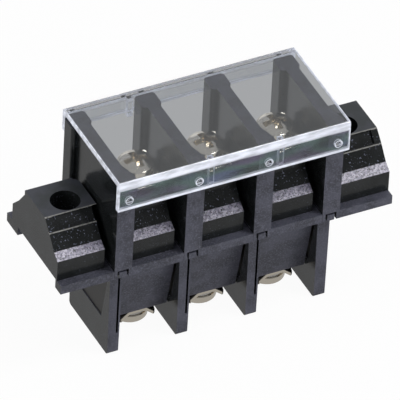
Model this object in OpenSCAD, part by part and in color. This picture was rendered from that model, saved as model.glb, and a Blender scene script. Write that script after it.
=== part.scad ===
// Barrier terminal strip for a panel cut-out. Pole mouldings hook onto one another between
// two end mouldings. Each pole holds a metal strap with a screw terminal at its top, above the
// panel, and another at its bottom, behind the panel. A clear cover lies over the barriers.
// X runs along the strip, Y from front to back, Z up, in millimetres. The origin is midway
// between the two mounting holes, on the underside of the flange.

/* [Strip] */
// Number of poles
poles = 3; // [1:1:12]
// Distance from one barrier to the next
pitch = 14; // [13:0.5:20]
// Distance from an outer barrier to the end of the strip
end_reach = 12.5; // [11.5:0.1:18]
// Distance from an outer barrier to its mounting hole
hole_reach = 7; // [6.5:0.1:9]
// Diameter of the mounting holes
hole_d = 5.6; // [3:0.1:6]

/* [Flange and blocks] */
// Distance from the middle to the front edge of the flange and of the barriers
flange_front = 10.7; // [10.2:0.1:14]
// Distance from the middle to the back edge of the flange
flange_back = 12.2; // [11.4:0.1:15]
// Thickness of the flange
flange_t = 1.85; // [1.6:0.05:2.4]
// Front riser of a block: distance from the middle, and height of its top
front_riser = [9.0, 6.3]; // [0:0.05:15]
// Front shoulder of a block: distance from the middle, and height
front_shoulder = [7.35, 7.35]; // [0:0.05:15]
// Front crest of a block: distance from the middle, and height
front_crest = [5.25, 10.0]; // [0:0.05:15]
// Back riser of a block: distance from the middle, and height of its top
back_riser = [10.1, 5.6]; // [0:0.05:15]
// Back shoulder of a block: distance from the middle, and height
back_shoulder = [7.6, 8.2]; // [0:0.05:15]
// Back crest of a block: distance from the middle, and height
back_crest = [5.4, 11.2]; // [0:0.05:15]
// Height of a pole's block, where its strap lies
block_top = 12.8; // [12:0.1:15]
// Gap between the right side of a block and the next barrier's centre line
block_gap = 3.1; // [2.9:0.1:3.6]

/* [Barriers and fins] */
// Height of the barriers
barrier_h = 22; // [20:0.5:30]
// Left side of a barrier's web, from the centre line
web_left = 1.6; // [1:0.05:1.7]
// Right side of a barrier's web, from the centre line
web_right = 0.85; // [0.5:0.05:1.6]
// Width of a barrier's front edge
front_w = 3.5; // [2.8:0.1:4]
// Left side of a barrier's back head, from the centre line
head_left = 2.6; // [2:0.1:2.7]
// Right side of a barrier's back head, from the centre line
head_right = 1.4; // [1:0.1:2]
// Depth of a barrier's back head
head_d = 3.7; // [2.5:0.1:5]
// Depth of the fins below the flange
fin_h = 20; // [19.5:0.5:30]
// Distance from the middle to a fin's front and back edges
fin_half = 8.1; // [7.6:0.1:10]
// Thickness of a fin at the flange
fin_t = 2.5; // [2:0.1:3]
// Thickness of a fin at its foot
fin_foot_t = 2.2; // [1.6:0.1:3]
// Depth of the body below the flange
body_h = 15.2; // [14:0.1:18]
// Half depth of the body at the flange
body_half = 7; // [5.5:0.1:7.5]
// Half depth of the body at its foot
body_foot_half = 3.9; // [3.8:0.1:6]

/* [Ends] */
// Height of the plate round a mounting hole
plate_top = 13.4; // [12.8:0.1:16]
// Thickness of that plate
plate_t = 1.2; // [0.8:0.1:2]
// Setback of the plate from the end face
plate_inset = 0.6; // [0.4:0.1:1.5]
// Gap between the left plate and the first barrier's centre line
plate_gap = 2.2; // [2:0.1:3]
// Radius of the plate's back outer corner
plate_r = 1.4; // [0.5:0.1:3]
// Depth of the label pocket at the front of the plate
pocket_d = 1.15; // [0.6:0.05:1.4]
// Width of the lips beside the label pocket
lip_w = 0.7; // [0.5:0.1:1.5]
// Wall left round the hollow under an end
wall = 1.6; // [1.2:0.1:2.2]
// Height of the arch in the end face
arch_h = 1.9; // [1:0.1:3]

/* [Interlock] */
// Width of the hook's tab, as it shows at a barrier's foot
tab_w = 1.45; // [1.2:0.05:1.6]
// Height of the hook
tab_h = 1.3; // [1:0.05:1.5]
// Gap round the tab
tab_gap = 0.4; // [0.2:0.05:0.45]
// Depth of the jamb that the hook reaches behind
jamb_d = 0.9; // [0.6:0.1:1.2]
// Depth of the hook's arm behind the jamb
arm_d = 1.4; // [1:0.1:1.8]
// Gap between two mouldings where they meet
seam = 0.05; // [0.02:0.01:0.1]

/* [Cover] */
// Height of the top of the cover
cover_top = 23.3; // [23:0.1:34]
// Thickness of the cover's walls
cover_t = 1; // [0.8:0.05:1.1]
// Distance that the cover passes the outer barriers' centre lines
cover_over = 2.25; // [2:0.05:4]
// Height of the front skirt
front_skirt = 6.5; // [4:0.1:7]
// Height of the back skirt
back_skirt = 4.7; // [3.5:0.1:6]
// Gap between the skirts and the barriers
cover_gap = 0.2; // [0.15:0.05:0.3]
// Diameter of the snap holes
snap_d = 1.3; // [0.8:0.1:2]
// Height of the snap holes above the front skirt's edge
snap_up = 2; // [1.2:0.1:2.5]
// Height that a barrier's snap nub stands proud
nub_h = 0.12; // [0.05:0.01:0.14]
// Thickness of the locating ribs
rib_t = 1; // [0.8:0.1:1.4]
// Depth of the locating ribs
rib_d = 0.9; // [0.5:0.1:1.5]

/* [Strap and terminals] */
// Thickness of the strap
strap_t = 1.2; // [0.8:0.1:1.5]
// Width of the strap
strap_w = 6; // [5:0.1:6.6]
// Length of the strap's two plates
strap_l = 7.8; // [7.4:0.1:8]
// Height that the strap's top plate stands above its block
strap_proud = 0.4; // [0.2:0.05:1]
// Gap round the strap in its moulding
strap_gap = 0.1; // [0.05:0.05:0.2]
// Diameter of the screws' thread
screw_d = 4; // [3:0.5:4]
// Length of the screws under the head
screw_l = 8; // [6:0.5:9]
// Diameter of the screw heads
screw_head_d = 7; // [6:0.1:7.6]
// Height of the screw heads
screw_head_h = 2.4; // [1.6:0.1:3]
// Width of the cross recess in a head
recess_w = 1; // [0.6:0.1:1.4]
// Length of the cross recess in a head
recess_l = 4.2; // [3:0.1:5]
// Depth of the cross recess in a head
recess_d = 1.5; // [0.8:0.1:1.8]
// Running clearance between a screw and the strap's hole, on the radius
thread_gap = 0.05; // [0.02:0.01:0.1]
// Clearance between a screw and its washers, on the radius
washer_gap = 0.1; // [0.05:0.01:0.1]
// Clearance between a screw and the moulding, on the radius
bore_gap = 0.35; // [0.3:0.05:0.6]
// Width of the square clamp plates
clamp_w = 7.4; // [6.5:0.1:8]
// Thickness of the clamp plates
clamp_t = 0.8; // [0.6:0.1:1.2]
// Outer diameter of the spring washers
spring_d = 6.6; // [5.8:0.1:7]
// Thickness of the spring washers
spring_t = 0.8; // [0.6:0.1:1.2]
// Width of the split in a spring washer
spring_split = 0.5; // [0.3:0.1:1]

/* [Hidden] */
$fn = 64;
eps = 0.01;

half_front = front_w / 2;
body_right = pitch - fin_t / 2 - seam;
flange_right = pitch - half_front - seam;
block_right = pitch - block_gap;
strap_top = block_top + strap_proud;
strap_right = pitch / 2 + strap_l / 2;
strap_left = pitch / 2 - strap_l / 2;
cover_half = flange_front + cover_gap + cover_t;

// Place of a barrier, counted from 0 at the left
function barrier_x(i) = (i - poles / 2) * pitch;

// Outline of a block across the strip, from its foot to its flat top
function block_outline(top) = [
    [-front_riser[0], 0],
    [-front_riser[0], front_riser[1]],
    [-front_shoulder[0], front_shoulder[1]],
    [-front_crest[0], front_crest[1]],
    [-front_crest[0], top],
    [back_crest[0], top],
    [back_crest[0], back_crest[1]],
    [back_shoulder[0], back_shoulder[1]],
    [back_riser[0], back_riser[1]],
    [back_riser[0], 0]];

// Carries an outline drawn in Y and Z along X, from one place to another
module along_x(from, to) {
    translate([from, 0, 0]) rotate([90, 0, 90]) linear_extrude(to - from) children();
}

// A rectangle with round corners, between two opposite corners
module round_rect(low, high, r) {
    translate([low[0] + r, low[1]]) square([high[0] - low[0] - 2 * r, high[1] - low[1]]);
    translate([low[0], low[1] + r]) square([high[0] - low[0], high[1] - low[1] - 2 * r]);
    for (x = [low[0] + r, high[0] - r], y = [low[1] + r, high[1] - r])
        translate([x, y]) circle(r);
}

// Flange between two places along the strip
module flange(from, to) {
    translate([from, -flange_front, 0])
        cube([to - from, flange_front + flange_back, flange_t]);
}

// Barrier in plan: a web with a flared front edge and a round-cornered back head
module barrier_plan() {
    flare = 1.4;
    square_front = -flange_front + flare;
    polygon([
        [-half_front, -flange_front], [half_front, -flange_front],
        [half_front, square_front],
        [web_right, square_front + 2.3 * flare],
        [web_right, flange_front], [-web_left, flange_front],
        [-web_left, square_front], [-half_front, square_front]]);
    round_rect([-head_left, flange_front - head_d], [head_right, flange_front], 0.6);
}

// Barrier above the panel, with the nubs that the cover snaps over
module barrier() {
    translate([0, 0, flange_t + seam]) linear_extrude(barrier_h - flange_t - seam) barrier_plan();
    translate([-half_front, -flange_front, 0]) cube([front_w, 2 * flange_front, flange_t + 2 * seam]);
    for (side = [-1, 1])
        translate([0, side * (flange_front - eps), cover_top - front_skirt + snap_up])
            rotate([-side * 90, 0, 0])
                cylinder(h = nub_h + eps, d = snap_d - 0.5);
}

// Fin below the panel, with the shallow seat for its neighbour's body on the left
module fin() {
    corner = 0.7;
    seat_drop = body_h - 2.2;
    seat_lean = (body_half - body_foot_half) * seat_drop / body_h;
    seat_margin = 0.7;
    difference() {
        intersection() {
            along_x(-fin_t, fin_t) {
                translate([-fin_half, -fin_h + corner]) square([2 * fin_half, fin_h - corner]);
                translate([-fin_half + corner, -fin_h]) square([2 * (fin_half - corner), fin_h]);
                for (side = [-1, 1])
                    translate([side * (fin_half - corner), -fin_h + corner]) circle(corner);
            }
            translate([0, fin_half + 1, 0]) rotate([90, 0, 0]) linear_extrude(2 * fin_half + 2)
                polygon([
                    [-fin_t / 2, 0], [fin_t / 2, 0],
                    [fin_foot_t / 2, -fin_h], [-fin_foot_t / 2, -fin_h]]);
        }
        along_x(-fin_t, -fin_t / 2 + 0.3)
            polygon([
                [-body_half - seat_margin, eps], [body_half + seat_margin, eps],
                [body_half + seat_margin - seat_lean, -seat_drop],
                [-body_half - seat_margin + seat_lean, -seat_drop]]);
    }
}

// Hook at a flange edge: an arm that passes behind the jamb, and a tab that turns out to the edge
module hook(grow) {
    reach = tab_w / 2 + grow;
    translate([-half_front - seam - eps, jamb_d - grow, -grow])
        cube([half_front + seam + eps + reach, arm_d + 2 * grow, tab_h + 2 * grow]);
    translate([-reach, -grow, -grow])
        cube([2 * reach, jamb_d + arm_d + 2 * grow, tab_h + 2 * grow]);
}

// The same at the front edge and, mirrored, at the back edge
module both_edges() {
    translate([0, -flange_front, 0]) children();
    translate([0, flange_back, 0]) mirror([0, 1, 0]) children();
}

// Left part of a moulding: its barrier, its fin and the flange between them
module wall_of_moulding() {
    barrier();
    fin();
    flange(-half_front, half_front);
}

// Body below the flange, leaning in towards its foot
module lower_body() {
    along_x(0, body_right)
        polygon([
            [-body_half, 0], [body_half, 0],
            [body_foot_half, -body_h], [-body_foot_half, -body_h]]);
}

// Way in for the strap, open to the right side of a pole
module strap_channel() {
    half = strap_w / 2 + strap_gap;
    open_right = pitch + 1;
    translate([strap_left - strap_gap, -half, strap_top - strap_t])
        cube([open_right - strap_left, 2 * half, strap_t + 1]);
    translate([strap_left - strap_gap, -half, -body_h - 1])
        cube([open_right - strap_left, 2 * half, strap_t + 1]);
    translate([strap_right - strap_t - strap_gap, -half, -body_h - 1])
        cube([open_right - strap_right + strap_t, 2 * half, body_h + strap_top + 1]);
}

// Blind holes for the ends of the two screws
module screw_bores() {
    bore = screw_d / 2 + bore_gap;
    spare = 0.8;
    stack = clamp_t + spring_t;
    top_depth = screw_l - stack + spare;
    translate([pitch / 2, 0, strap_top - top_depth]) cylinder(h = top_depth + 1, r = bore);
    translate([pitch / 2, 0, -body_h - 1]) cylinder(h = top_depth + 1, r = bore);
}

// One pole, from its own barrier to the next one
module pole() {
    color("#2b2d31") {
        difference() {
            union() {
                wall_of_moulding();
                flange(0, flange_right);
                along_x(0, block_right) polygon(block_outline(block_top));
                lower_body();
            }
            both_edges() hook(tab_gap);
            strap_channel();
            screw_bores();
        }
        translate([pitch, 0, 0]) both_edges() hook(0);
    }
}

// Plate round a mounting hole, drawn from its outer end towards the barrier
module end_plate(outer, inner) {
    front = -front_crest[0] - 0.3;
    back = back_crest[0] - 0.3;
    translate([0, 0, plate_top - plate_t - eps]) linear_extrude(plate_t + eps) {
        translate([outer, front]) square([inner - outer, back - front - plate_r]);
        translate([outer + plate_r, front]) square([inner - outer - 2 * plate_r, back - front]);
        for (x = [outer + plate_r, inner - plate_r])
            translate([x, back - plate_r]) circle(plate_r);
    }
}

// Ear at the end of the strip, drawn to the left of a barrier whose centre line is at 0.
// Its flange, its block and the plate round its hole each end at their own place there.
module ear(flange_inner, block_inner, plate_inner) {
    outer = -end_reach;
    shelf = plate_top - plate_t;
    front_foot = 2.3;
    back_foot = 4.6;
    boss = hole_d / 2 + wall;
    ledge_drop = 1.8;
    ledge_rise = 0.55;
    difference() {
        union() {
            flange(outer, flange_inner);
            along_x(outer, block_inner) polygon(block_outline(shelf));
            end_plate(outer + plate_inset, plate_inner);
        }
        // label pocket, left bare
        along_x(outer + plate_inset + lip_w, plate_inner - lip_w)
            polygon([
                [-front_crest[0] + pocket_d, plate_top + 1],
                [-front_crest[0] + pocket_d, plate_top - ledge_drop],
                [-front_crest[0], plate_top - ledge_drop - ledge_rise],
                [-front_crest[0] - 1, plate_top - ledge_drop - ledge_rise],
                [-front_crest[0] - 1, plate_top + 1]]);
        // hollow under the ear, round the boss of the mounting hole
        difference() {
            along_x(outer + wall, block_inner - wall)
                polygon([
                    [-front_riser[0] + wall, -1],
                    [-front_riser[0] + wall, front_riser[1] - wall / 2],
                    [-front_crest[0] + wall / 4, front_crest[1] - wall],
                    [back_crest[0] - wall / 4, front_crest[1] - wall],
                    [back_riser[0] - wall, back_riser[1] - wall / 2],
                    [back_riser[0] - wall, -1]]);
            translate([-hole_reach, 0, -2]) cylinder(h = plate_top, r = boss);
        }
        // arch in the end face, between the two feet
        translate([outer - 1, -flange_front + front_foot, -1])
            cube([wall + 1 + eps, flange_front + flange_back - front_foot - back_foot, arch_h + 1]);
        // mounting hole with a broken edge
        translate([-hole_reach, 0, -1]) cylinder(h = plate_top + 2, d = hole_d);
        translate([-hole_reach, 0, plate_top - 0.3])
            cylinder(h = 0.3 + eps, d1 = hole_d, d2 = hole_d + 0.6);
    }
}

// End moulding without a barrier, which hooks into the first pole
module left_end() {
    color("#2b2d31") {
        ear(-half_front - seam, -block_gap, -plate_gap);
        both_edges() hook(0);
    }
}

// End moulding that carries the last barrier
module right_end() {
    color("#2b2d31")
        difference() {
            union() {
                wall_of_moulding();
                mirror([1, 0, 0]) ear(-half_front, -web_right, -web_right);
            }
            both_edges() hook(tab_gap);
        }
}

// Clear cover: a flat plate with a deep front skirt and a shallow back skirt
module cover() {
    round = 0.5;
    inner = cover_half - cover_t;
    left = barrier_x(0) - cover_over;
    right = barrier_x(poles) + cover_over;
    snap_z = cover_top - front_skirt + snap_up;
    color("#dfe6f0", 0.35) {
        difference() {
            along_x(left, right) difference() {
                union() {
                    round_rect([-cover_half, cover_top - 2 * cover_t], [cover_half, cover_top], round);
                    translate([-cover_half, cover_top - front_skirt])
                        square([cover_t + eps, front_skirt - round]);
                    translate([inner - eps, cover_top - back_skirt])
                        square([cover_t + eps, back_skirt - round]);
                }
                translate([-inner, 0]) square([2 * inner, cover_top - cover_t]);
            }
            for (i = [0:poles])
                translate([barrier_x(i), 0, snap_z]) rotate([90, 0, 0])
                    cylinder(h = 2 * cover_half + 2, d = snap_d, center = true);
        }
        // ribs that locate the cover beside the inner barriers
        for (i = [1:1:poles - 1])
            translate([barrier_x(i) + half_front + 2 * cover_gap, -inner - eps, cover_top - front_skirt])
                cube([rib_t, rib_d, front_skirt - cover_t + eps]);
        translate([barrier_x(min(1, poles)) - head_left - 2 * cover_gap - rib_t,
            inner - rib_d + eps, cover_top - back_skirt - 0.4])
            cube([rib_t, rib_d, back_skirt - cover_t + 0.4 + eps]);
    }
}

// Strap that joins the two terminals of a pole: two plates and the web between them
module conductor() {
    total = strap_top + body_h;
    color("#c9c3b4")
        difference() {
            translate([0, -strap_w / 2, -body_h]) {
                translate([strap_right - strap_t, 0, 0]) cube([strap_t, strap_w, total]);
                for (z = [0, total - strap_t])
                    translate([strap_left, 0, z]) cube([strap_l, strap_w, strap_t]);
            }
            translate([pitch / 2, 0, -body_h - 1])
                cylinder(h = total + 2, r = screw_d / 2 + thread_gap);
        }
}

// Square plate that presses on the wire
module clamp_plate() {
    corner = 0.5;
    half = clamp_w / 2;
    color("#cfcabd")
        linear_extrude(clamp_t)
            difference() {
                round_rect([-half, -half], [half, half], corner);
                circle(screw_d / 2 + washer_gap);
            }
}

// Split spring washer
module spring_washer() {
    color("#bcb8ae")
        translate([0, 0, clamp_t])
            difference() {
                cylinder(h = spring_t, d = spring_d);
                translate([0, 0, -1]) cylinder(h = spring_t + 2, r = screw_d / 2 + washer_gap);
                rotate([0, 0, 200]) translate([0, -spring_split / 2, -1])
                    cube([spring_d, spring_split, spring_t + 2]);
            }
}

// Pan head screw with a cross recess
module screw() {
    crown_r = 7;
    under_head = clamp_t + spring_t;
    head_top = under_head + screw_head_h;
    tip = 0.5;
    color("#d2cdc0") {
        difference() {
            intersection() {
                translate([0, 0, under_head]) cylinder(h = screw_head_h, d = screw_head_d);
                translate([0, 0, head_top - crown_r]) sphere(crown_r);
            }
            for (turn = [0, 90])
                rotate([0, 0, turn])
                    translate([-recess_l / 2, -recess_w / 2, head_top - recess_d])
                        cube([recess_l, recess_w, recess_d + 1]);
        }
        translate([0, 0, under_head - screw_l + tip]) cylinder(h = screw_l - tip + eps, d = screw_d);
        translate([0, 0, under_head - screw_l])
            cylinder(h = tip, d1 = screw_d - 2 * tip, d2 = screw_d);
    }
}

// Puts a terminal piece on a pole's strap, at the top or, turned over, at the bottom
module on_terminal(i, side) {
    z = side == "top" ? strap_top : -body_h;
    translate([barrier_x(i - 0.5), 0, z]) rotate([side == "top" ? 0 : 180, 0, 0]) children();
}

translate([barrier_x(0), 0, 0]) left_end();
translate([barrier_x(poles), 0, 0]) right_end();
cover();
for (i = [1:poles]) {
    translate([barrier_x(i - 1), 0, 0]) pole();
    translate([barrier_x(i - 1), 0, 0]) conductor();
    for (side = ["top", "bottom"]) {
        on_terminal(i, side) clamp_plate();
        on_terminal(i, side) spring_washer();
        on_terminal(i, side) screw();
    }
}
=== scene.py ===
"""Looks of a barrier terminal strip: black mouldings, plated terminals and a clear cover.

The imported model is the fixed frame. Each moulding is shown as a copy of its node, with a few cuts
and small edge rounds. Screws, spring washers and clamp plates are surfaces worked out here. The
cover and the straps are their own nodes. X runs along the strip, Y from front to back, Z up.
Sizes are in millimetres unless a comment says otherwise, and MM is one millimetre in metres.
"""

import math
from contextlib import contextmanager

import bmesh
import bpy
import numpy as np
from mathutils import Matrix, Vector


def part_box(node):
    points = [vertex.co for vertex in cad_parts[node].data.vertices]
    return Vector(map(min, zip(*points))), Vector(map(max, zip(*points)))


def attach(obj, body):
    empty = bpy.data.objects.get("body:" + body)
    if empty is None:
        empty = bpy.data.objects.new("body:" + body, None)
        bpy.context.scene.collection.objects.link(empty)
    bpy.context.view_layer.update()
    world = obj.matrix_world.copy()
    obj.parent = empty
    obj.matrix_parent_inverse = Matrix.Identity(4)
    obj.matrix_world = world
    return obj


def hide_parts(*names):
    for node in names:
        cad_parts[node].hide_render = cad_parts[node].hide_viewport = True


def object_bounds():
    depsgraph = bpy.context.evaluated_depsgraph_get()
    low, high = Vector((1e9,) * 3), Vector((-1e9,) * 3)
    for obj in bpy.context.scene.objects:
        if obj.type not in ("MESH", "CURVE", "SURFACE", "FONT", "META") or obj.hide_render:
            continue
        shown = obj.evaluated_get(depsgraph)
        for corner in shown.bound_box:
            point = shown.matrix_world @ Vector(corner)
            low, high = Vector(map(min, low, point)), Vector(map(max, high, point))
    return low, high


MM = 0.001
X, Y, Z = range(3)
LEFT, RIGHT = (-1, 0, 0), (1, 0, 0)
FRONT, BACK = (0, -1, 0), (0, 1, 0)
UP = (0, 0, 1)
RED, GREEN = range(2)

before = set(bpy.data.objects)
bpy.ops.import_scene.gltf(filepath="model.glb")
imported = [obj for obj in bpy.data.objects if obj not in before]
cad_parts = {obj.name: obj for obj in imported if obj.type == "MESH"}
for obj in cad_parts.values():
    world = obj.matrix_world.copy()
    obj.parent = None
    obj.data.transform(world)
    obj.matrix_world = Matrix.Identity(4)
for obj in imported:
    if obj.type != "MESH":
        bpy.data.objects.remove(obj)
cad_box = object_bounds()
POLES = sum(name.startswith("pole_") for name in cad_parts)
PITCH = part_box("pole_2")[0].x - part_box("pole_1")[0].x  # metres

# ends, along X
END_REACH = 12.5  # from an outer barrier's centre line to the end of the strip
BARRIER_RIGHT = 0.9  # from a barrier's centre line to its right side, with the seam
PLATE_GAP = 2.2  # between the left plate and the first barrier's centre line
PLATE_INSET = 0.6  # from the end face to the plate round the hole
LIP = 0.7  # width of the lips beside a label pocket
EAR_INNER = (22.6, 23.0)  # soft edge beyond which a point is on an ear, from the middle

# slope in front of an ear's plate, as (Y, Z)
EAR_CREST = (-5.25, 10.02)
EAR_PLATE = (-3.1, 12.2)

# outward directions of a block's front facet, and about those of the slopes above it
FACET = (0, -0.537, 0.844)
SLOPE = (0, -0.75, 0.66)

# slots in the fins' front and back edges
# They start at this distance from a pole's leftmost point, its barrier's back head, and so lie
# inside the fin. A groove right beside the fin would start at 3.87.
SLOT_START = 3.03

# cover
BACK_SKIRT = 4.7  # height of its back skirt
SNAP_UP = 2.0  # from the front skirt's edge to the snap holes' centres

# terminals
SCREW_R = 2.0
WASHER_HOLE_R = 2.1

# the room, where 1 is white
SEEN_THROUGH_COVER = 0.36
FLOOR_IN_MIRRORS = 0.44


# ---------------------------------------------------------------- node helpers


def rgb(red, green, blue):
    """A display colour, 0 to 255 a channel, as a linear RGBA tuple."""
    shares = [c / 255 for c in (red, green, blue)]
    linear = [c / 12.92 if c <= 0.04045 else ((c + 0.055) / 1.055) ** 2.4 for c in shares]
    return (*linear, 1.0)


class NodeTree:
    """A node tree under construction. Shares run from 0 to 1."""

    def __init__(self, tree, coordinates):
        self.tree = tree
        self.place = self.node("ShaderNodeTexCoord").outputs[coordinates]

    def node(self, kind, **settings):
        made = self.tree.nodes.new(kind)
        for key, value in settings.items():
            setattr(made, key, value)
        return made

    def link(self, source, target):
        """Links a socket to another one, or sets a plain number or colour on it."""
        if isinstance(source, (int, float, tuple)):
            target.default_value = source
        else:
            self.tree.links.new(source, target)

    def axis(self, index):
        """The X, Y or Z coordinate, in metres on an object."""
        made = self.node("ShaderNodeSeparateXYZ")
        self.link(self.place, made.inputs[0])
        return made.outputs[index]

    def math(self, operation, a, b=0.0):
        made = self.node("ShaderNodeMath", operation=operation)
        self.link(a, made.inputs[0])
        self.link(b, made.inputs[1])
        return made.outputs[0]

    def step(self, value, low, high, out_low=0.0, out_high=1.0):
        """Maps low..high of a value to out_low..out_high, smoothly and held at both ends."""
        made = self.node("ShaderNodeMapRange", interpolation_type="SMOOTHSTEP", clamp=True)
        self.link(value, made.inputs["Value"])
        made.inputs["From Min"].default_value = low
        made.inputs["From Max"].default_value = high
        made.inputs["To Min"].default_value = out_low
        made.inputs["To Max"].default_value = out_high
        return made.outputs[0]

    def past(self, value, start, end):
        """0 up to start and 1 from end on, for a value in metres."""
        return self.step(value, start * MM, end * MM)

    def short_of(self, value, start, end):
        """1 up to start and 0 from end on, for a value in metres."""
        return self.step(value, start * MM, end * MM, 1.0, 0.0)

    def both(self, *shares):
        """The product of shares, so where all of them hold."""
        result = shares[0]
        for share in shares[1:]:
            result = self.math("MULTIPLY", result, share)
        return result

    def any_of(self, *shares):
        """The greatest of shares, so where any of them holds."""
        result = shares[0]
        for share in shares[1:]:
            result = self.math("MAXIMUM", result, share)
        return result

    def blend(self, share, a, b):
        """Mixes two colours, or two numbers, by share."""
        colours = isinstance(a, tuple) or isinstance(b, tuple) or getattr(a, "type", "") == "RGBA"
        made = self.node("ShaderNodeMix", data_type="RGBA" if colours else "FLOAT")
        first = 6 if colours else 2
        self.link(share, made.inputs[0])
        self.link(a, made.inputs[first])
        self.link(b, made.inputs[first + 1])
        return made.outputs[2 if colours else 0]


class Finish(NodeTree):
    """A material under construction."""

    def __init__(self, name):
        self.material = bpy.data.materials.new(name)
        self.material.use_nodes = True
        super().__init__(self.material.node_tree, "Object")
        self.shader = self.tree.nodes["Principled BSDF"]

    def set(self, **values):
        """Sets sockets of the shader; underscores stand for the spaces in their names."""
        for key, value in values.items():
            self.link(value, self.shader.inputs[key.replace("_", " ")])

    def lay_over(self, other, share):
        """Shows another shader over the material's own one, by share."""
        mix = self.node("ShaderNodeMixShader")
        self.link(share, mix.inputs[0])
        self.link(self.shader.outputs[0], mix.inputs[1])
        self.link(other.outputs[0], mix.inputs[2])
        self.link(mix.outputs[0], self.tree.nodes["Material Output"].inputs["Surface"])

    def noise(self, size, detail, stretch=(1, 1, 1)):
        """Noise whose blots are about size across."""
        mapping = self.node("ShaderNodeMapping")
        self.link(self.place, mapping.inputs["Vector"])
        mapping.inputs["Scale"].default_value = stretch
        made = self.node("ShaderNodeTexNoise")
        self.link(mapping.outputs[0], made.inputs["Vector"])
        self.link(1 / (size * MM), made.inputs["Scale"])
        self.link(detail, made.inputs["Detail"])
        return made.outputs["Fac"]

    def cell_colours(self, size):
        """Voronoi cells about size across, each with a random colour."""
        made = self.node("ShaderNodeTexVoronoi")
        self.link(self.place, made.inputs["Vector"])
        self.link(1 / (size * MM), made.inputs["Scale"])
        return made.outputs["Color"]

    def channel(self, colour, index):
        made = self.node("ShaderNodeSeparateColor")
        self.link(colour, made.inputs[0])
        return made.outputs[index]

    def bump(self, height, strength, distance):
        made = self.node("ShaderNodeBump")
        self.link(height, made.inputs["Height"])
        made.inputs["Strength"].default_value = strength
        made.inputs["Distance"].default_value = distance * MM
        self.link(made.outputs[0], self.shader.inputs["Normal"])

    def facing(self, direction, least, full):
        """0 up to a least cosine between the surface's normal and a direction, 1 from a full one on."""
        geometry = self.node("ShaderNodeNewGeometry")
        made = self.node("ShaderNodeVectorMath", operation="DOT_PRODUCT")
        self.link(geometry.outputs["True Normal"], made.inputs[0])
        made.inputs[1].default_value = Vector(direction).normalized()
        return self.step(made.outputs["Value"], least, full)

    def beside_barrier(self):
        """X from the nearest barrier's centre line, in metres.

        Ten pitches are added first, so that the remainder is taken of a positive number.
        """
        first_barrier = POLES / 2 * PITCH
        shifted = self.math("ADD", self.axis(X), first_barrier + 10.5 * PITCH)
        return self.math("SUBTRACT", self.math("MODULO", shifted, PITCH), PITCH / 2)


# ---------------------------------------------------------------- materials


def eroded_faces(finish):
    """Where a moulding is spark-eroded: outermost fronts and backs, below the flange, and tops."""
    depth, height = finish.axis(Y), finish.axis(Z)
    outermost = finish.any_of(finish.short_of(depth, -10.0, -9.4), finish.short_of(height, 1.7, 2.0))
    front = finish.both(finish.facing(FRONT, 0.9, 0.97), outermost)
    back = finish.both(finish.facing(BACK, 0.9, 0.97), finish.past(depth, 9.4, 10.0))
    return finish.any_of(front, back, finish.facing(UP, 0.93, 0.98))


def ear_plates(finish, on_ear):
    """The polished plates round the mounting holes."""
    plate_z = EAR_PLATE[1]
    level = finish.past(finish.axis(Z), plate_z - 0.4, plate_z - 0.2)
    return finish.both(on_ear, finish.facing(UP, 0.93, 0.98), level)


def ear_ridge_highlights(finish, on_ear):
    """Where highlights are painted on the ridges at both ends of the slope in front of an ear's plate."""
    depth, height = finish.axis(Y), finish.axis(Z)
    (crest_y, crest_z), (plate_y, plate_z) = EAR_CREST, EAR_PLATE
    at_plate = finish.both(
        finish.past(depth, plate_y - 0.2, plate_y - 0.1),
        finish.short_of(depth, plate_y + 0.1, plate_y + 0.2),
        finish.past(height, plate_z - 0.2, plate_z - 0.1),
    )
    at_crest = finish.both(
        finish.past(height, crest_z - 0.09, crest_z - 0.04),
        finish.short_of(height, crest_z + 0.08, crest_z + 0.14),
        finish.short_of(depth, crest_y + 0.45, crest_y + 0.55),
    )
    return finish.both(on_ear, finish.any_of(at_plate, at_crest))


def fin_seat_shade(finish):
    """Where shade is painted on the shallow seating face in a fin's left side, where the neighbour's body
    would lie.
    """
    beside = finish.beside_barrier()
    return finish.both(
        finish.facing(LEFT, 0.98, 0.995),
        finish.short_of(finish.axis(Z), -0.4, -0.1),
        finish.past(beside, -1.06, -0.99),
        finish.short_of(beside, -0.8, -0.6),
    )


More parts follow.
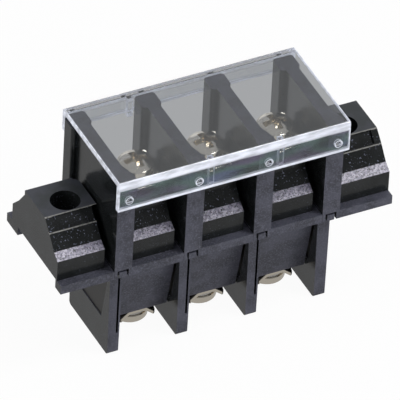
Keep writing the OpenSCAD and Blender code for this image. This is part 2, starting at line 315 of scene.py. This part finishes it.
def moulded_plastic():
    """Black thermoplastic: eroded outer faces, polished recesses with painted shade, and painted glints where
    grain is deep.
    """
    finish = Finish("moulded_plastic")
    grain = finish.noise(0.3, 3)
    cloud = finish.noise(3.5, 3)
    patches = finish.step(cloud, 0.35, 0.65)
    fleck = finish.cell_colours(0.34)
    on_ear = finish.past(finish.math("ABSOLUTE", finish.axis(X)), *EAR_INNER)

    textured = eroded_faces(finish)
    eroded = finish.blend(patches, rgb(52, 53, 62), rgb(70, 71, 83))
    eroded = finish.blend(finish.step(grain, 0.42, 0.75), eroded, rgb(88, 88, 100))
    # the faces that are not eroded are darker, partly for their smooth finish and partly as painted shade of
    # the recesses among the barriers
    polished = finish.blend(finish.step(cloud, 0.3, 0.7), rgb(20, 22, 22), rgb(30, 32, 33))
    base = finish.blend(textured, polished, eroded)

    # painted pinhead glints, pale cells in the base colour, most of them on the slopes: the few cells whose
    # own random red is high
    chance = finish.both(finish.channel(fleck, RED), finish.step(grain, 0.35, 0.7))
    strength = finish.blend(finish.facing(SLOPE, 0.975, 0.985), 0.2, 0.95)
    glints = finish.both(finish.step(chance, 0.6, 0.85), strength)
    base = finish.blend(glints, base, rgb(112, 116, 134))

    plate_colour = finish.blend(patches, rgb(36, 40, 43), rgb(52, 54, 62))
    base = finish.blend(ear_plates(finish, on_ear), base, plate_colour)
    # painted highlights on the ear's ridges, broken up by the grain
    painted_ridge_highlight = finish.both(ear_ridge_highlights(finish, on_ear), finish.step(grain, 0.3, 0.5, 0.4, 1.0))
    base = finish.blend(painted_ridge_highlight, base, rgb(134, 133, 130))

    # a block's front shoulder facet, with its glittering painted as pale tinted cells in the base colour
    painted_glitter_facet = finish.both(finish.facing(FACET, 0.992, 0.998), finish.short_of(finish.axis(Z), 7.6, 8.2))
    painted_glitter_tints = finish.blend(finish.channel(fleck, GREEN), rgb(96, 92, 112), rgb(178, 174, 190))
    base = finish.blend(finish.both(painted_glitter_facet, finish.step(grain, 0.32, 0.5)), base, painted_glitter_tints)

    seat_shade = fin_seat_shade(finish)
    # painted shade, nearly black, over the fin's seating face
    base = finish.blend(seat_shade, base, rgb(22, 20, 18))

    smooth_faces = finish.blend(painted_glitter_facet, finish.blend(seat_shade, 0.2, 0.4), 0.3)
    finish.set(Base_Color=base, Roughness=finish.blend(textured, smooth_faces, 0.5))
    relief = finish.blend(textured, finish.blend(painted_glitter_facet, 0.03, 1.0), 0.45)
    finish.bump(finish.both(grain, relief), 0.5, 0.12)
    return finish.material


def painted_white_highlights(finish):
    """Where white highlights are painted on the cover: its rims, its front crown and its snap holes."""
    low, high = box_mm("cover")
    along, depth, height = finish.axis(X), finish.axis(Y), finish.axis(Z)
    front = finish.facing(FRONT, 0.9, 0.98)
    flat_faces = finish.any_of(front, finish.facing(UP, 0.9, 0.98))
    sides = finish.any_of(finish.facing(RIGHT, 0.9, 0.98), finish.facing(LEFT, 0.9, 0.98))
    by_side = finish.any_of(
        finish.short_of(along, low.x + 0.1, low.x + 0.35),
        finish.past(along, high.x - 0.35, high.x - 0.1),
    )
    front_foot = finish.short_of(height, low.z + 0.45, low.z + 0.75)
    back_edge = high.z - BACK_SKIRT
    back_foot = finish.both(
        finish.past(depth, 0.0, 5.0),
        finish.short_of(height, back_edge + 0.35, back_edge + 0.6),
    )
    rims = finish.any_of(
        sides,
        finish.both(by_side, flat_faces),
        finish.both(front, front_foot),
        finish.both(front, back_foot),
    )
    crown = finish.both(
        finish.facing(FRONT, 0.2, 0.5),
        finish.past(height, high.z - 2.1, high.z - 1.5),
    )
    beside = finish.beside_barrier()
    above = finish.math("SUBTRACT", height, (low.z + SNAP_UP) * MM)
    squares = finish.math("ADD", finish.both(beside, beside), finish.both(above, above))
    snap_rings = finish.both(front, finish.short_of(finish.math("SQRT", squares), 0.76, 0.88))
    streaks = finish.step(finish.noise(1.2, 3, (0.25, 1, 1)), 0.3, 0.7, 0.6, 1.0)
    return finish.both(finish.any_of(rims, crown, snap_rings), streaks)


def stress_tint(finish):
    """The faint violet, green and blue of stress in the plastic, which drift along the skirt."""
    drift = finish.noise(4, 1, (0.35, 1, 1))
    tint = finish.blend(finish.step(drift, 0.35, 0.5), rgb(104, 98, 122), rgb(92, 116, 112))
    return finish.blend(finish.step(drift, 0.5, 0.65), tint, rgb(96, 108, 136))


def clear_plastic():
    """Clear polycarbonate with a tinted skirt, and a milky shader that paints white highlights over its
    edges, faintly glowing.
    """
    finish = Finish("clear_plastic")
    finish.set(Base_Color=(0.93, 0.95, 0.98, 1.0), Roughness=0.0, IOR=1.58, Transmission_Weight=1.0)
    # white highlights painted on the cover's edges
    bright = painted_white_highlights(finish)
    skirt = finish.both(finish.facing(FRONT, 0.9, 0.98), finish.short_of(finish.axis(Y), -11.0, -10.8))
    veil = finish.both(skirt, finish.step(finish.noise(3, 1, (0.35, 1, 1)), 0.35, 0.65, 0.15, 0.6))
    milk_and_painted_glow = finish.node("ShaderNodeBsdfPrincipled")
    milk_and_highlight_colour = finish.blend(finish.step(bright, 0.1, 0.4), stress_tint(finish), rgb(230, 233, 245))
    finish.link(milk_and_highlight_colour, milk_and_painted_glow.inputs["Base Color"])
    milk_and_painted_glow.inputs["Roughness"].default_value = 0.3
    # an emitted glow painted over those highlighted edges
    painted_glow = finish.blend(bright, (0.0, 0.0, 0.0, 1.0), (0.8, 0.82, 0.9, 1.0))
    finish.link(painted_glow, milk_and_painted_glow.inputs["Emission Color"])
    milk_and_painted_glow.inputs["Emission Strength"].default_value = 0.3
    finish.lay_over(milk_and_painted_glow, finish.any_of(finish.both(bright, 0.85), veil))
    return finish.material


def plated_metal(name, colour, roughness):
    """Plated metal with a faint mottle, which is up to a quarter rougher or smoother."""
    finish = Finish(name)
    mottle = finish.noise(0.7, 3)
    uneven = finish.step(mottle, 0.3, 0.7, roughness * 0.8, roughness * 1.25)
    finish.set(Base_Color=colour, Metallic=1.0, Roughness=uneven)
    finish.bump(mottle, 0.6, 0.08)
    return finish.material


# ---------------------------------------------------------------- surfaces


def box_mm(node_name):
    """A node's lowest and highest corners, in millimetres."""
    return [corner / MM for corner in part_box(node_name)]


@contextmanager
def edited(source, result=None):
    """A mesh opened for editing. The outcome goes into the result, or back into the same mesh."""
    shape = bmesh.new()
    shape.from_mesh(source)
    yield shape
    shape.to_mesh(result or source)
    shape.free()


def linked_object(name, mesh):
    """An object in the scene that shows a mesh."""
    made = bpy.data.objects.new(name, mesh)
    bpy.context.scene.collection.objects.link(made)
    return made


def rings_object(name, rings, joined=False):
    """An object made of quads between successive closed rings of points.

    rings is an array (ring, point, xyz) in metres. The last ring joins the first when joined is
    set. Otherwise the first and the last ring are each closed by one face.
    """
    count, around, _ = rings.shape
    first = np.arange(count if joined else count - 1)[:, None]
    second = (first + 1) % count
    here = np.arange(around)[None, :]
    there = (here + 1) % around
    corners = (first * around + here, first * around + there, second * around + there, second * around + here)
    faces = [tuple(quad) for quad in np.stack(corners, axis=-1).reshape(-1, 4).tolist()]
    if not joined:
        faces.append(tuple(range(around))[::-1])
        faces.append(tuple(range((count - 1) * around, count * around)))
    mesh = bpy.data.meshes.new(name)
    mesh.from_pydata(rings.reshape(-1, 3).tolist(), [], faces)
    with edited(mesh) as shape:
        bmesh.ops.recalc_face_normals(shape, faces=shape.faces)
    return linked_object(name, mesh)


def smooth(piece, degrees):
    """Smooth shading, with edges sharper than an angle kept crisp."""
    mesh = piece.data
    mesh.polygons.foreach_set("use_smooth", [True] * len(mesh.polygons))
    mesh.set_sharp_from_angle(angle=math.radians(degrees))


def round_edges(piece, width, degrees):
    """Small rounds on the edges that are sharper than an angle."""
    rounds = piece.modifiers.new("edge_rounds", "BEVEL")
    rounds.width = width * MM
    rounds.segments = 2
    rounds.limit_method = "ANGLE"
    rounds.angle_limit = math.radians(degrees)


def cut_away(piece, tool):
    """Takes a tool's volume from a piece, for good, and throws the tool away."""
    change = piece.modifiers.new("cut", "BOOLEAN")
    change.operation = "DIFFERENCE"
    change.solver = "EXACT"
    change.object = tool
    bpy.context.view_layer.update()
    depsgraph = bpy.context.evaluated_depsgraph_get()
    result = bpy.data.meshes.new_from_object(piece.evaluated_get(depsgraph))
    piece.modifiers.clear()
    piece.data = result
    bpy.data.objects.remove(tool)


def dress(piece, material):
    """Gives a piece its material, in place of any that it had."""
    piece.data.materials.clear()
    piece.data.materials.append(material)


def finish_piece(piece, body, material, slot, *nodes):
    """Gives a piece its material and its body, and hides the CAD nodes that it stands for. The slot is not
    used.
    """
    dress(piece, material)
    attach(piece, body)
    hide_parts(*nodes)


# ---------------------------------------------------------------- mouldings


def bar(start, end, outline):
    """A bar along X whose section is an outline of (Y, Z) points."""
    rings = np.array([[(x, y, z) for y, z in outline] for x in (start, end)])
    return rings_object("bar", rings * MM)


def ear_slope(start, end):
    """A tool whose underside lies level over an ear's plate and slopes down past its front crest."""
    (crest_y, crest_z), (plate_y, plate_z) = EAR_CREST, EAR_PLATE
    front, back, above = -5.6, 6.9, 15.0
    front_z = crest_z + (front - crest_y) * (plate_z - crest_z) / (plate_y - crest_y)
    return bar(
        start, end, [(front, front_z), (plate_y, plate_z), (back, plate_z), (back, above), (front, above)]
    )


def label_pocket(start, end):
    """A tool for the bare pocket in that slope, which leaves a rim at the crest."""
    crest_rim, plate_rim, deep, proud = 0.4, 0.1, 0.5, 1.0
    crest, plate = np.array(EAR_CREST), np.array(EAR_PLATE)
    along = (plate - crest) / np.linalg.norm(plate - crest)
    inwards = np.array([along[1], -along[0]])
    low, high = crest + crest_rim * along, plate - plate_rim * along
    bottom = [low + deep * inwards, high + deep * inwards]
    top = [high - proud * inwards, low - proud * inwards]
    return bar(start, end, bottom + top)


def fin_slot(start, side):
    """A tool for a slot in a fin's front or back edge.

    Its bottom runs inside the lean of the body's face, so the slot is deeper at the foot.
    """
    wide, inside, edge = 0.4, 0.8, 9
    body_half, foot_half, foot = 7.0, 3.9, -15.3
    outline = [(edge, 0.0), (body_half - inside, 0.0), (foot_half - inside, foot), (edge, foot)]
    return bar(start, start + wide, [(side * y, z) for y, z in outline])


def moulding_tools(node_name):
    """The tools that cut a moulding, each made when it is its turn."""
    low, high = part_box(node_name)
    left, right = low.x / MM, high.x / MM
    if node_name == "left_end":
        inner = left + END_REACH - PLATE_GAP
        yield ear_slope(left - 1, right - 0.5)
        yield label_pocket(left + PLATE_INSET + LIP, inner - LIP)
    elif node_name == "right_end":
        inner = right - END_REACH + BARRIER_RIGHT
        yield ear_slope(inner, right + 1)
        yield label_pocket(inner + LIP, right - PLATE_INSET - LIP)
    else:
        for side in (-1, 1):
            yield fin_slot(left + SLOT_START, side)


def moulding(node_name):
    """A moulding: its node's merged mesh, cut, with flat faces made whole and small edge rounds."""
    same_before_cuts, same_after_cuts = 1e-7, 1e-6  # distances in metres
    mesh = bpy.data.meshes.new(node_name + "_moulding")
    with edited(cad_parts[node_name].data, mesh) as shape:
        bmesh.ops.remove_doubles(shape, verts=shape.verts, dist=same_before_cuts)
    piece = linked_object(node_name + "_moulding", mesh)
    for tool in moulding_tools(node_name):
        cut_away(piece, tool)
    flat = math.radians(0.5)
    with edited(piece.data) as shape:
        bmesh.ops.remove_doubles(shape, verts=shape.verts, dist=same_after_cuts)
        bmesh.ops.dissolve_limit(shape, angle_limit=flat, verts=shape.verts, edges=shape.edges)
    round_edges(piece, 0.14, 35)
    finish_piece(piece, "root", PLASTIC, "housing", node_name)


# ---------------------------------------------------------------- terminals


class Terminal:
    """Where one screw terminal is: its centre on the strap in metres, which way it looks, and its sizes."""

    def __init__(self, side, number):
        name = f"{side}_{{}}_{number}"
        plate = box_mm(name.format("clamp_plate"))
        washer = box_mm(name.format("spring_washer"))
        screw_box = box_mm(name.format("screw"))
        self.sign = 1 if side == "top" else -1
        inner, outer = (0, 1) if side == "top" else (1, 0)
        face = plate[inner].z
        middle = (plate[0] + plate[1]) / 2
        self.centre = (middle.x * MM, middle.y * MM, face * MM)
        self.plate_half = (plate[1].x - plate[0].x) / 2
        self.washer_base = abs(washer[inner].z - face)
        self.washer_top = abs(washer[outer].z - face)
        self.washer_r = (washer[1].x - washer[0].x) / 2
        self.head_r = (screw_box[1].x - screw_box[0].x) / 2
        self.head_top = abs(screw_box[outer].z - face)
        self.foot = -abs(screw_box[inner].z - face)

    def place(self, rings):
        """Moves rings drawn upwards from the strap to the terminal. A bottom one is turned over."""
        turned = rings * np.array([1.0, self.sign, self.sign])
        return turned * MM + np.array(self.centre)


def screw(terminal, node_name, body):
    """A pan head screw.

    It is a profile of radius and height carried round the axis. The crown drops with the square of
    the radius. The cross recess lowers the crown where a point lies within half an arm's width of
    one axis and half an arm's length along the other. On the thread the radius is a cosine of the
    height over the pitch, less the turn's angle.
    """
    around, crown_rings, rim_rings = 96, 38, 6
    middle_r, crown_drop, rim_r, chamfer = 0.03, 0.95, 0.35, 0.15
    recess_w, recess_l, recess_d, flank = 1.0, 4.3, 1.5, 0.22
    pitch, thread_h, neck, tip = 0.7, 0.13, 0.4, 0.6
    tip_radii, tip_bevel = [SCREW_R - 0.45, SCREW_R - 0.6], 0.1
    head_r, top, under, foot = terminal.head_r, terminal.head_top, terminal.washer_top, terminal.foot

    crown_radius = np.linspace(middle_r, head_r - rim_r, crown_rings)
    crown_height = top - crown_drop * (crown_radius / head_r) ** 2
    rim_turn = np.linspace(0, math.pi / 2, rim_rings + 1)[1:]
    rim_radius = head_r - rim_r + rim_r * np.sin(rim_turn)
    rim_height = crown_height[-1] - rim_r + rim_r * np.cos(rim_turn)
    thread_height = np.arange(under - neck, foot + tip, -pitch / 8)
    thread_radius = np.full(len(thread_height), SCREW_R - thread_h)
    under_radius = [head_r, head_r - chamfer, SCREW_R, SCREW_R]
    under_height = [under + chamfer, under, under, under - neck / 2]
    radius = np.concatenate((crown_radius, rim_radius, under_radius, thread_radius, tip_radii))
    height = np.concatenate((crown_height, rim_height, under_height, thread_height, [foot + tip_bevel, foot]))

    turn = np.linspace(0, 2 * math.pi, around, endpoint=False)[None, :]
    radius = np.repeat(radius[:, None], around, 1)
    height = np.repeat(height[:, None], around, 1)
    thread = slice(-len(tip_radii) - len(thread_height), -len(tip_radii))
    radius[thread] += thread_h * np.cos(2 * math.pi * height[thread] / pitch - turn)
    x, y = radius * np.cos(turn), radius * np.sin(turn)
    along, across = np.maximum(abs(x), abs(y)), np.minimum(abs(x), abs(y))
    arm_w = recess_w * (1.15 - 0.3 * along / recess_l)
    within_w = np.clip((arm_w / 2 - across) / flank + 0.5, 0, 1)
    within_l = np.clip((recess_l / 2 - along) / flank + 0.5, 0, 1)
    sink = within_w * within_l
    sink[crown_rings:] = 0
    rings = np.stack((x, y, height - recess_d * sink), axis=-1)
    piece = rings_object(node_name + "_piece", terminal.place(rings))
    smooth(piece, 40)
    finish_piece(piece, body, NICKEL, "screw", node_name)


def clamp_plate(terminal, node_name, body):
    """A square plate with its corners turned up.

    Each ring of points lies a share of the way from the round hole to the square's outline. A
    point further along a diagonal than the fold is lifted by that excess times the corner's slope.
    """
    around, steps = 96, 16
    fold, slope, blunt = 3.75, 1.15, 4.95
    thick, half = terminal.washer_base, terminal.plate_half
    turn = np.linspace(0, 2 * math.pi, around, endpoint=False)[None, :]
    outline = np.minimum(half / np.maximum(abs(np.cos(turn)), abs(np.sin(turn))), blunt)
    share = np.linspace(0, 1, steps)[:, None]
    radius = WASHER_HOLE_R + (outline - WASHER_HOLE_R) * share
    x, y = radius * np.cos(turn), radius * np.sin(turn)
    lift = slope * np.maximum(0, (abs(x) + abs(y)) / math.sqrt(2) - fold)
    upper = np.stack((x, y, lift + thick), axis=-1)
    lower = np.stack((x, y, lift), axis=-1)[::-1]
    rings = np.concatenate((upper, lower))
    piece = rings_object(node_name + "_piece", terminal.place(rings), joined=True)
    smooth(piece, 35)
    round_edges(piece, 0.08, 50)
    finish_piece(piece, body, NICKEL, "plated_plate", node_name)


def spring_washer(terminal, node_name, body):
    """A split ring: an eight-cornered section carried round the axis, rising a little from end to end."""
    sections, split_at, split = 80, math.radians(200), math.radians(9)
    ease, rise = 0.12, 0.06
    near, far = WASHER_HOLE_R, terminal.washer_r
    low, high = terminal.washer_base + rise / 2, terminal.washer_top - rise / 2
    section_r = np.array([near + ease, far - ease, far, far, far - ease, near + ease, near, near])
    section_z = np.array([low, low, low + ease, high - ease, high, high, high - ease, low + ease])
    turn = (split_at + np.linspace(split / 2, 2 * math.pi - split / 2, sections))[:, None]
    climb = rise * (np.linspace(0, 1, sections)[:, None] - 0.5)
    rings = np.stack((section_r * np.cos(turn), section_r * np.sin(turn), section_z + climb), axis=-1)
    piece = rings_object(node_name + "_piece", terminal.place(rings))
    smooth(piece, 30)
    finish_piece(piece, body, SPRING, "spring_steel", node_name)


# ---------------------------------------------------------------- studio


def room_strength(tree, to_camera, in_mirrors, through_cover, plain):
    """How bright a ray finds the room: seen straight, in a mirror, through the cover, or as plain light."""
    rays = tree.node("ShaderNodeLightPath").outputs
    seen = tree.blend(rays["Is Glossy Ray"], plain, in_mirrors)
    seen = tree.blend(rays["Is Transmission Ray"], seen, through_cover)
    return tree.blend(rays["Is Camera Ray"], seen, to_camera)


def studio_floor(height):
    """A pale floor: plain white to the camera but for a faint shadow, plain grey in mirrors and the cover."""
    reach, shadow_share = 4.0, 0.05  # the reach in metres
    mesh = bpy.data.meshes.new("floor")
    corners = ((-1, -1), (1, -1), (1, 1), (-1, 1))
    mesh.from_pydata([(x * reach, y * reach, height) for x, y in corners], [], [(0, 1, 2, 3)])
    floor = linked_object("floor", mesh)
    finish = Finish("floor_card")
    finish.set(Base_Color=(0.9, 0.9, 0.9, 1.0), Roughness=1.0, Specular_IOR_Level=0.0)
    plain = finish.node("ShaderNodeEmission")
    strength = room_strength(finish, 1.0, FLOOR_IN_MIRRORS, SEEN_THROUGH_COVER, 0.0)
    finish.link(strength, plain.inputs["Strength"])
    rays = finish.node("ShaderNodeLightPath").outputs
    straight = finish.math("MULTIPLY", rays["Is Camera Ray"], 1 - shadow_share)
    finish.lay_over(plain, finish.any_of(straight, rays["Is Glossy Ray"], rays["Is Transmission Ray"]))
    mesh.materials.append(finish.material)


def soft_box(name, direction, distance, size, watts, glints=False):
    """A square area lamp that looks at the strip. Distance and size are in metres.

    It shows in gloss only when it glints.
    """
    lamp = bpy.data.lights.new(name, "AREA")
    lamp.shape = "SQUARE"
    lamp.size = size
    lamp.energy = watts
    holder = linked_object(name, lamp)
    place = Vector(direction).normalized() * distance
    holder.location = place
    holder.visible_glossy = glints
    holder.rotation_euler = (-place).to_track_quat("-Z", "Y").to_euler()


def surroundings(plain, mirror_front, mirror_back):
    """An even room that the camera sees as white, and mirrors as darker in front than behind."""
    world = bpy.data.worlds.new("room")
    world.use_nodes = True
    room = NodeTree(world.node_tree, "Generated")
    in_mirrors = room.step(room.axis(Y), -0.5, 0.4, mirror_front, mirror_back)
    background = room.tree.nodes["Background"]
    strength = room_strength(room, 1.0, in_mirrors, SEEN_THROUGH_COVER, plain)
    room.link(strength, background.inputs["Strength"])
    background.inputs["Color"].default_value = (0.96, 0.98, 1, 1)
    bpy.context.scene.world = world


def camera():
    """A long lens that looks down on the strip from its front left. The distance is in metres."""
    azimuth, elevation, roll = (math.radians(v) for v in (-27.81, 39.25, 3.17))
    target = Vector((0.22, 1.33, 2.30)) * MM
    distance = 2.076
    level = math.cos(elevation)
    view = Vector((math.sin(azimuth) * level, -math.cos(azimuth) * level, math.sin(elevation)))
    lens = bpy.data.cameras.new("camera")
    lens.lens = 1025.1
    lens.sensor_width = 36
    lens.clip_start = 0.1
    lens.clip_end = 50
    holder = linked_object("camera", lens)
    holder.rotation_mode = "QUATERNION"
    level_right = Vector((math.cos(azimuth), math.sin(azimuth), 0))
    level_up = view.cross(level_right)
    right = level_right * math.cos(roll) + level_up * math.sin(roll)
    up = level_up * math.cos(roll) - level_right * math.sin(roll)
    holder.rotation_quaternion = Matrix((right, up, view)).transposed().to_quaternion()
    holder.location = target + view * distance
    bpy.context.scene.camera = holder


# ---------------------------------------------------------------- the strip and its studio

PLASTIC = moulded_plastic()
CLEAR = clear_plastic()
NICKEL = plated_metal("nickel_plate", (0.74, 0.68, 0.58, 1), 0.12)
SPRING = plated_metal("spring_steel", (0.55, 0.53, 0.5, 1), 0.25)
STRAP = plated_metal("strap_plate", (0.72, 0.67, 0.58, 1), 0.3)

for node_name in ["left_end", "right_end"] + [f"pole_{number}" for number in range(1, POLES + 1)]:
    moulding(node_name)
dress(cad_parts["cover"], CLEAR)
for number in range(1, POLES + 1):
    dress(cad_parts[f"conductor_{number}"], STRAP)
    for side in ("top", "bottom"):
        terminal = Terminal(side, number)
        clamp_plate(terminal, f"{side}_clamp_plate_{number}", f"{side}_terminal_{number}")
        spring_washer(terminal, f"{side}_spring_washer_{number}", f"{side}_terminal_{number}")
        screw(terminal, f"{side}_screw_{number}", f"{side}_screw_{number}")

studio_floor(cad_box[0].z)
soft_box("top_light", (0.36, -0.29, 0.88), distance=0.6, size=0.14, watts=1.2, glints=True)
soft_box("left_light", (-0.9, -0.1, 0.45), distance=0.7, size=0.5, watts=2.0)
soft_box("right_light", (0.75, -0.7, 0.15), distance=0.7, size=0.5, watts=2.6)
surroundings(plain=0.4, mirror_front=0.2, mirror_back=0.9)
camera()
bpy.context.scene.view_settings.view_transform = "Standard"
